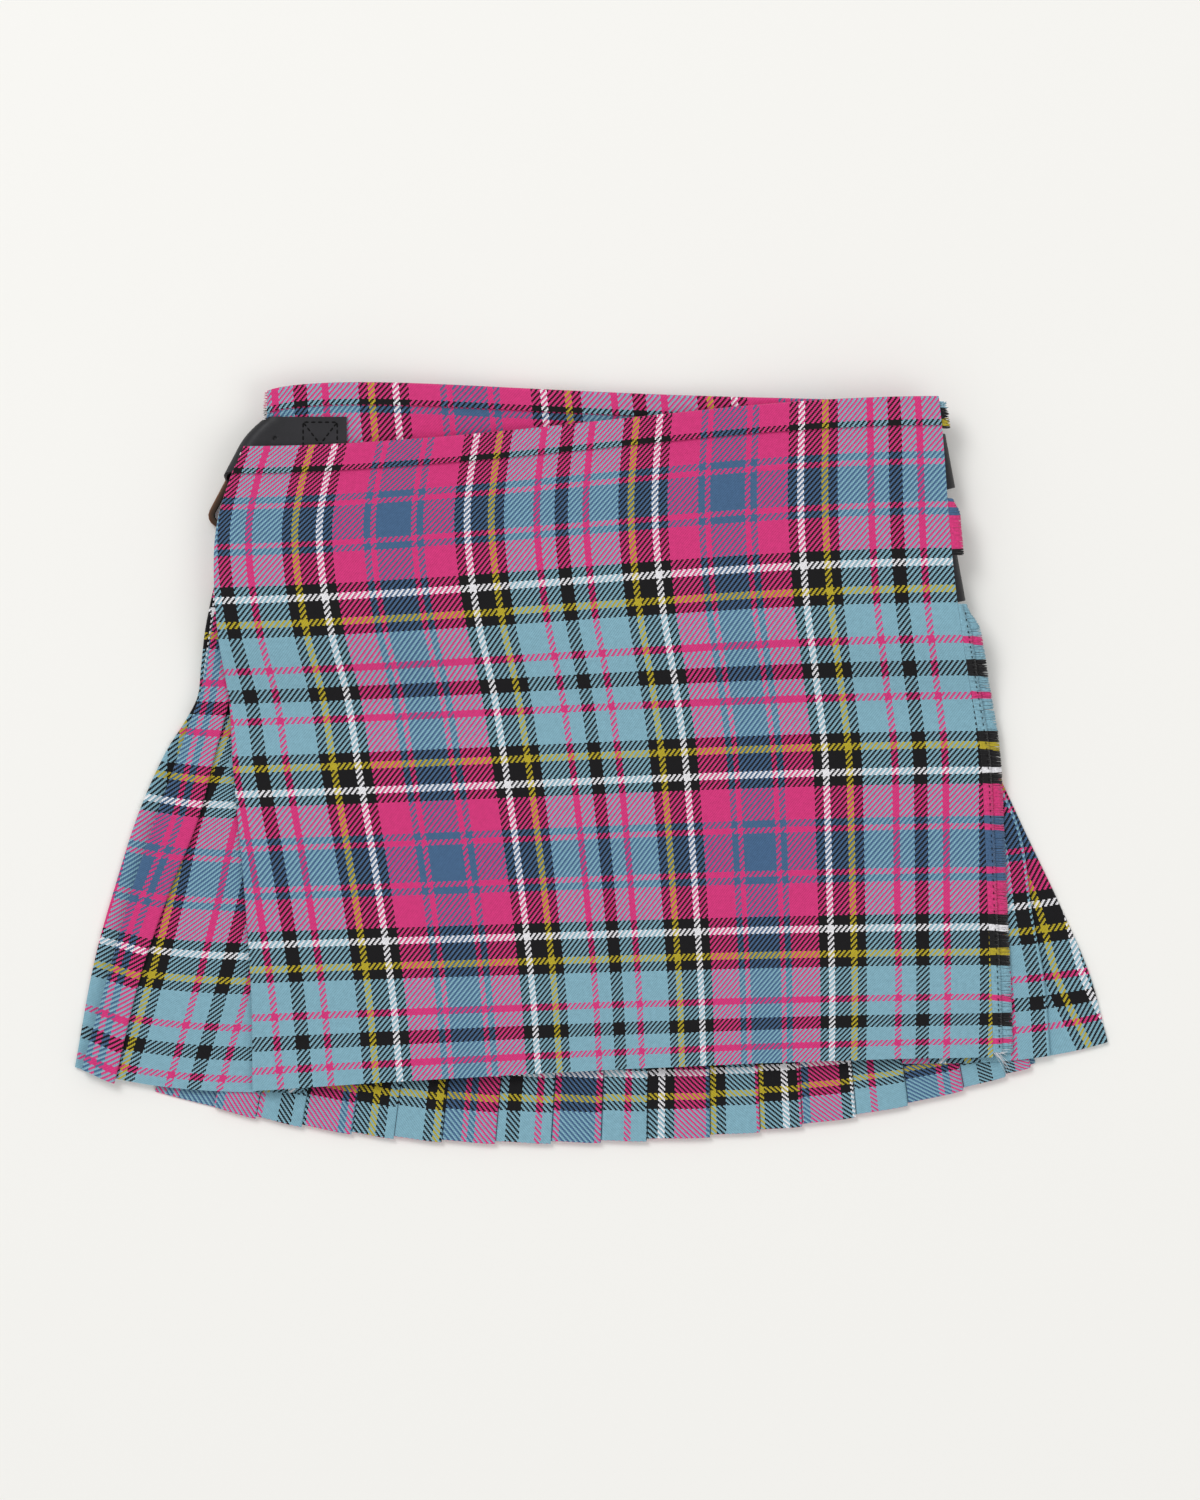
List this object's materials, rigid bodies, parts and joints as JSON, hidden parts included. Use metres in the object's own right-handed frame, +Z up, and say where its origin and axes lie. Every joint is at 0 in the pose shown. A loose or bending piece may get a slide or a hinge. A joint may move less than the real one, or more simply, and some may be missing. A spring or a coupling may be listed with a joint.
{
  "type": "mini skirt (wrap mini kilt, laid flat)",
  "caption": "Pleated wrap mini skirt in tartan wool, laid flat on its back, with fringed over apron and black leather straps buckled at the hips.",
  "frame": {"origin": "middle of the skirt's outline, on the surface that it lies on", "axes": "+X across the skirt towards the fringed edge, +Y from the hem towards the waist, +Z up off the surface"},
  "size_m": [0.5386, 0.3963, 0.0213],
  "materials": {
    "tartan_wool": "woven twill",
    "black_leather": "satin",
    "dark_bronze": "antique"
  },
  "bodies": {
    "root": {"over_apron": "tartan_wool", "under_apron": "tartan_wool", "back_pleats": "tartan_wool", "left_side_pleats": "tartan_wool", "right_side_pleats": "tartan_wool", "over_apron_waistband": "tartan_wool", "under_apron_waistband": "tartan_wool", "back_waistband": "tartan_wool", "fringe_top_layer": "tartan_wool", "fringe_under_layer": "tartan_wool", "hip_fringe": "tartan_wool", "waistband_fringe": "tartan_wool", "inner_strap": "black_leather", "upper_strap": "black_leather", "lower_strap": "black_leather", "left_buckle_tab": "black_leather", "upper_buckle_tab": "black_leather", "lower_buckle_tab": "black_leather", "left_buckle_frame": "dark_bronze", "upper_buckle_frame": "dark_bronze", "lower_buckle_frame": "dark_bronze", "left_buckle_prong": "dark_bronze", "upper_buckle_prong": "dark_bronze", "lower_buckle_prong": "dark_bronze"}
  },
  "joints": []
}
